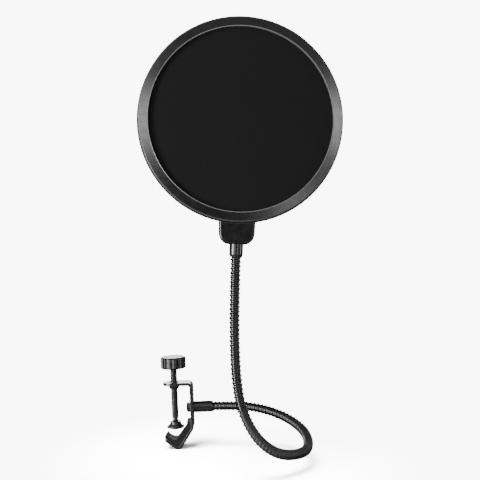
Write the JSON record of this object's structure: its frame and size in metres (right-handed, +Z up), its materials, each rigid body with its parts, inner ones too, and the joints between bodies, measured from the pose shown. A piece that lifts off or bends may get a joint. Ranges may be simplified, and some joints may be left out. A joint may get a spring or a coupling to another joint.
{
  "type": "pop filter",
  "caption": "Clamp-on microphone pop filter: a round double-mesh hoop on a bendable wound gooseneck, held by a screw C-clamp with a V jaw.",
  "frame": {"origin": "bottom of the clamp's V jaw, on the clamp screw's axis, halfway across the strap", "axes": "+Z up the clamp screw towards the knob, the mesh's front faces -Y, and the gooseneck leaves the clamp along +X"},
  "size_m": [0.1584, 0.1165, 0.3511],
  "materials": {
    "hoop_plastic": "satin moulded black",
    "mesh_nylon": "fine open black nylon knit",
    "fastener_steel": "black zinc",
    "ferrule_metal": "polished black plating",
    "neck_wire": "glossy black spring wire",
    "clamp_steel": "gloss black powder coat",
    "liner_plastic": "matt black",
    "screw_steel": "black zinc, worn bright at the tip",
    "knob_plastic": "gloss black",
    "pad_plastic": "black",
    "pad_rubber": "matt black"
  },
  "bodies": {
    "clamp": {"clamp_strap": "clamp_steel", "screw_bush": "clamp_steel", "jaw_liner": "liner_plastic"},
    "pad": {"pressure_pad": "pad_plastic", "pad_boot": "pad_rubber"},
    "screw": {"clamp_screw": "screw_steel", "knob": "knob_plastic"},
    "arm_base": {"lower_ferrule": "ferrule_metal", "swivel_bolt": "fastener_steel", "swivel_washer": "fastener_steel", "gooseneck_01": "neck_wire"},
    "neck_02": {"gooseneck_02": "neck_wire"},
    "neck_03": {"gooseneck_03": "neck_wire"},
    "neck_04": {"gooseneck_04": "neck_wire"},
    "neck_05": {"gooseneck_05": "neck_wire"},
    "neck_06": {"gooseneck_06": "neck_wire"},
    "neck_07": {"gooseneck_07": "neck_wire"},
    "neck_08": {"gooseneck_08": "neck_wire"},
    "neck_09": {"gooseneck_09": "neck_wire"},
    "neck_10": {"gooseneck_10": "neck_wire"},
    "head": {"gooseneck_11": "neck_wire", "top_ferrule": "ferrule_metal", "tab_nut": "fastener_steel", "front_shell": "hoop_plastic", "rear_shell": "hoop_plastic", "front_mesh": "mesh_nylon", "rear_mesh": "mesh_nylon", "spacer_hoop": "hoop_plastic", "tab_screws": "fastener_steel"}
  },
  "joints": [
    {"name": "pad_travel", "type": "slide", "parent": "clamp", "child": "pad", "axis": [0, 0, 1], "range_m": [0, 0.027]},
    {"name": "screw_turn", "type": "hinge", "parent": "pad", "child": "screw", "pos_m": [0, 0, 0], "axis": [0, 0, 1], "range_deg": [0, 9700]},
    {"name": "arm_swivel", "type": "hinge", "parent": "clamp", "child": "arm_base", "pos_m": [0.0164, 0, 0.0265], "axis": [1, 0, 0], "range_deg": [-180, 180]},
    {"name": "neck_bend_01", "type": "hinge", "parent": "arm_base", "child": "neck_02", "pos_m": [0.06575, -0.004, 0.0255], "axis": [0.0848, 0, 0.9964], "range_deg": [-35, 35]},
    {"name": "neck_bend_02", "type": "hinge", "parent": "neck_02", "child": "neck_03", "pos_m": [0.08875, -0.01425, 0.021], "axis": [-0.4475, -0.8834, 0.1392], "range_deg": [-35, 35]},
    {"name": "neck_bend_03", "type": "hinge", "parent": "neck_03", "child": "neck_04", "pos_m": [0.1065, -0.03, 0.013], "axis": [0.5692, 0, 0.8222], "range_deg": [-35, 35]},
    {"name": "neck_bend_04", "type": "hinge", "parent": "neck_04", "child": "neck_05", "pos_m": [0.11175, -0.0525, 0.00475], "axis": [0.3026, -0.2909, 0.9077], "range_deg": [-35, 35]},
    {"name": "neck_bend_05", "type": "hinge", "parent": "neck_05", "child": "neck_06", "pos_m": [0.099, -0.07725, 0.00325], "axis": [-0.192, 0, -0.9814], "range_deg": [-35, 35]},
    {"name": "neck_bend_06", "type": "hinge", "parent": "neck_06", "child": "neck_07", "pos_m": [0.0785, -0.095, 0.01375], "axis": [0.3251, -0.8975, -0.298], "range_deg": [-35, 35]},
    {"name": "neck_bend_07", "type": "hinge", "parent": "neck_07", "child": "neck_08", "pos_m": [0.064, -0.10125, 0.034], "axis": [-0.9091, 0, -0.4167], "range_deg": [-35, 35]},
    {"name": "neck_bend_08", "type": "hinge", "parent": "neck_08", "child": "neck_09", "pos_m": [0.05725, -0.09925, 0.0585], "axis": [-0.0175, -0.9843, 0.1754], "range_deg": [-35, 35]},
    {"name": "neck_bend_09", "type": "hinge", "parent": "neck_09", "child": "neck_10", "pos_m": [0.056, -0.094, 0.085], "axis": [-1, 0, 0], "range_deg": [-35, 35]},
    {"name": "neck_bend_10", "type": "hinge", "parent": "neck_10", "child": "head", "pos_m": [0.05675, -0.0878, 0.11583], "axis": [0.0083, -0.9824, 0.1864], "range_deg": [-35, 35]}
  ],
  "couplings": [
    {"joint": "pad_travel", "follows": "screw_turn", "m_per_rad": 0.00015915}
  ]
}
